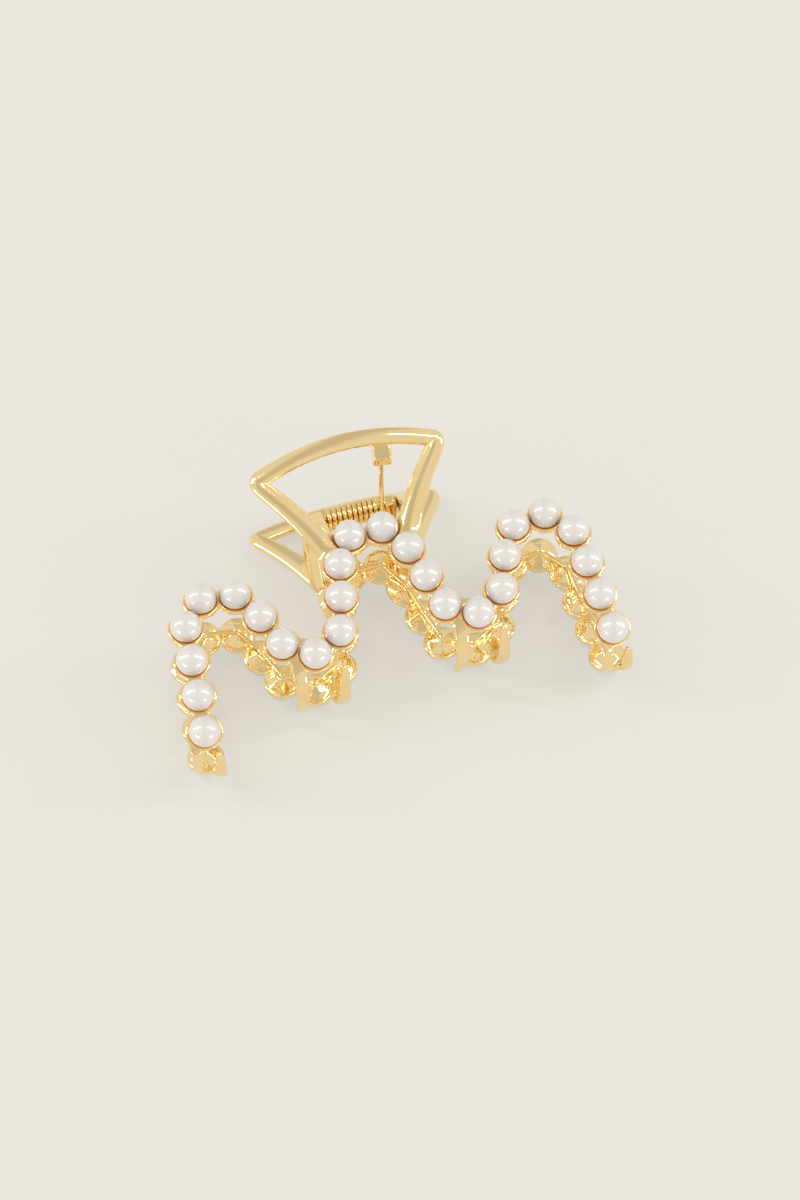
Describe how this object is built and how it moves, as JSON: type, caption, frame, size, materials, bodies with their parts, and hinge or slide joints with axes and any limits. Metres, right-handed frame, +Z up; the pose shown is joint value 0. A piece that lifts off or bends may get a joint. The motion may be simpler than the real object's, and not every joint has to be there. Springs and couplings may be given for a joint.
{
  "type": "hair claw clip",
  "caption": "Spring hair claw clip: two hinged wave-shaped gilt jaws set with imitation pearls, curved teeth and open squeeze handles.",
  "frame": {"origin": "on the ground under the middle of the clip, which lies on its back jaw", "axes": "+X along the hinge, +Y from the teeth to the handles, +Z up, out of the front jaw"},
  "size_m": [0.0862, 0.0554, 0.0329],
  "materials": {
    "gilt_casting": "polished",
    "gilt_steel": "polished",
    "pearl_nacre": "pearlescent gloss"
  },
  "bodies": {
    "back": {"back_jaw": "gilt_casting", "hinge_pin": "gilt_steel", "torsion_spring": "gilt_steel", "back_pearl_01": "pearl_nacre", "back_pearl_02": "pearl_nacre", "back_pearl_03": "pearl_nacre", "back_pearl_04": "pearl_nacre", "back_pearl_05": "pearl_nacre", "back_pearl_06": "pearl_nacre", "back_pearl_07": "pearl_nacre", "back_pearl_08": "pearl_nacre", "back_pearl_09": "pearl_nacre", "back_pearl_10": "pearl_nacre", "back_pearl_11": "pearl_nacre", "back_pearl_12": "pearl_nacre", "back_pearl_13": "pearl_nacre", "back_pearl_14": "pearl_nacre", "back_pearl_15": "pearl_nacre", "back_pearl_16": "pearl_nacre", "back_pearl_17": "pearl_nacre", "back_pearl_18": "pearl_nacre", "back_pearl_19": "pearl_nacre", "back_pearl_20": "pearl_nacre", "back_pearl_21": "pearl_nacre", "back_pearl_22": "pearl_nacre", "back_pearl_23": "pearl_nacre", "back_pearl_24": "pearl_nacre", "back_pearl_25": "pearl_nacre", "back_pearl_26": "pearl_nacre"},
    "front": {"front_jaw": "gilt_casting", "front_pearl_01": "pearl_nacre", "front_pearl_02": "pearl_nacre", "front_pearl_03": "pearl_nacre", "front_pearl_04": "pearl_nacre", "front_pearl_05": "pearl_nacre", "front_pearl_06": "pearl_nacre", "front_pearl_07": "pearl_nacre", "front_pearl_08": "pearl_nacre", "front_pearl_09": "pearl_nacre", "front_pearl_10": "pearl_nacre", "front_pearl_11": "pearl_nacre", "front_pearl_12": "pearl_nacre", "front_pearl_13": "pearl_nacre", "front_pearl_14": "pearl_nacre", "front_pearl_15": "pearl_nacre", "front_pearl_16": "pearl_nacre", "front_pearl_17": "pearl_nacre", "front_pearl_18": "pearl_nacre", "front_pearl_19": "pearl_nacre", "front_pearl_20": "pearl_nacre", "front_pearl_21": "pearl_nacre", "front_pearl_22": "pearl_nacre", "front_pearl_23": "pearl_nacre", "front_pearl_24": "pearl_nacre", "front_pearl_25": "pearl_nacre", "front_pearl_26": "pearl_nacre"}
  },
  "joints": [
    {"name": "jaw_hinge", "type": "hinge", "parent": "back", "child": "front", "pos_m": [0, 0.01679, 0.01574], "axis": [-1, 0, 0], "range_deg": [0, 60], "stiffness_Nm_per_rad": 0.1, "springref_deg": -51.57, "deforming": ["torsion_spring"]}
  ]
}
